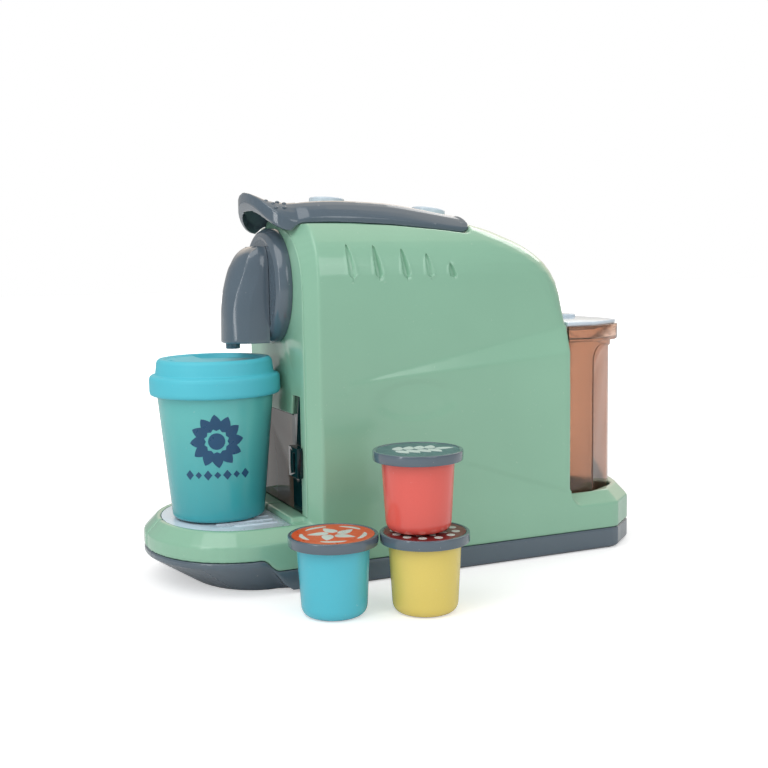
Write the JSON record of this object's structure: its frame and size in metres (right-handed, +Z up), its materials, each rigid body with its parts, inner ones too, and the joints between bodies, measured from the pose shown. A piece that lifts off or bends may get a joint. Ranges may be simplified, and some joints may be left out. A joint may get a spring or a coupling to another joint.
{
  "type": "toy coffee maker",
  "caption": "Battery play coffee maker with a lift lever, push buttons, used-capsule drawer and lift-out water tank, with a lidded cup and play capsules.",
  "frame": {"origin": "middle of the machine's flat underside, on the table plane, halfway across the machine and under its crown", "axes": "+Z up, -Y towards the spout and cup, +Y towards the water tank, +X to the machine's right as seen from behind, where the capsules stand"},
  "size_m": [0.1842, 0.2955, 0.2076],
  "materials": {
    "green_plastic": "glossy moulded mint green",
    "grey_plastic": "glossy moulded blue grey",
    "smoked_plastic": "clear smoked brown",
    "white_plastic": "glossy white",
    "steel": "plated",
    "cell_wrap": "printed sleeve, bare colours",
    "hose_plastic": "soft, milky",
    "circuit_board": "board with parts",
    "black_plastic": "black",
    "lamp_plastic": "amber lamp",
    "cup_plastic": "translucent teal",
    "turquoise_plastic": "satin turquoise",
    "cyan_plastic": "glossy",
    "yellow_plastic": "glossy",
    "red_plastic": "glossy",
    "orange_label": null,
    "maroon_label": null,
    "teal_label": null
  },
  "bodies": {
    "machine": {"base_pan": "grey_plastic", "base_screws": "steel", "battery_door": "grey_plastic", "battery_door_screw": "steel", "battery_cells": "cell_wrap", "battery_contacts": "steel", "shell_left": "green_plastic", "shell_right": "green_plastic", "front_panel": "green_plastic", "nose_plate": "grey_plastic", "nose_cover": "grey_plastic", "spout_nozzle": "grey_plastic", "drip_tray": "white_plastic", "drawer_guide": "grey_plastic", "pod_chute": "grey_plastic", "crown_lens": "smoked_plastic", "lamp": "lamp_plastic", "water_pump": "white_plastic", "pump_motor": "steel", "inlet_hose": "hose_plastic", "spout_hose": "hose_plastic", "circuit_board": "circuit_board", "speaker": "black_plastic", "front_switch": "circuit_board", "rear_switch": "circuit_board", "lever_pins": "steel"},
    "lever": {"lever": "grey_plastic"},
    "front_button": {"front_button": "white_plastic"},
    "rear_button": {"rear_button": "white_plastic"},
    "drawer": {"pod_drawer": "smoked_plastic"},
    "tank": {"water_tank": "smoked_plastic", "tank_valve": "hose_plastic"},
    "tank_lid": {"tank_lid": "white_plastic"},
    "cup": {"cup_body": "cup_plastic", "cup_lid": "turquoise_plastic"},
    "cyan_pod": {"cyan_pod_cup": "cyan_plastic", "cyan_pod_lid": "grey_plastic", "cyan_pod_label": "orange_label"},
    "yellow_pod": {"yellow_pod_cup": "yellow_plastic", "yellow_pod_lid": "grey_plastic", "yellow_pod_label": "maroon_label"},
    "red_pod": {"red_pod_cup": "red_plastic", "red_pod_lid": "grey_plastic", "red_pod_label": "teal_label"}
  },
  "joints": [
    {"name": "lever_hinge", "type": "hinge", "parent": "machine", "child": "lever", "pos_m": [0, 0.0306, 0.1896], "axis": [-1, 0, 0], "range_deg": [0, 75]},
    {"name": "front_button_press", "type": "slide", "parent": "machine", "child": "front_button", "axis": [0, -0.0523, -0.9986], "range_m": [0, 0.0025], "stiffness_N_per_m": 300, "springref_m": -0.001},
    {"name": "rear_button_press", "type": "slide", "parent": "machine", "child": "rear_button", "axis": [0, -0.1392, -0.9903], "range_m": [0, 0.0025], "stiffness_N_per_m": 300, "springref_m": -0.001},
    {"name": "drawer_slide", "type": "slide", "parent": "machine", "child": "drawer", "axis": [0, -1, 0], "range_m": [0, 0.065]},
    {"name": "cup_slide", "type": "slide", "parent": "drawer", "child": "cup", "axis": [0, -1, 0], "range_m": [0, 0.1]},
    {"name": "tank_lift", "type": "slide", "parent": "machine", "child": "tank", "axis": [0, 0, 1], "range_m": [0, 0.13]},
    {"name": "tank_lid_lift", "type": "slide", "parent": "tank", "child": "tank_lid", "axis": [0, 0, 1], "range_m": [0, 0.06]},
    {"name": "cyan_pod_lift", "type": "slide", "parent": "machine", "child": "cyan_pod", "axis": [0, 0, 1], "range_m": [0, 0.1]},
    {"name": "yellow_pod_lift", "type": "slide", "parent": "machine", "child": "yellow_pod", "axis": [0, 0, 1], "range_m": [0, 0.1]},
    {"name": "red_pod_lift", "type": "slide", "parent": "yellow_pod", "child": "red_pod", "axis": [0, 0, 1], "range_m": [0, 0.1]}
  ]
}
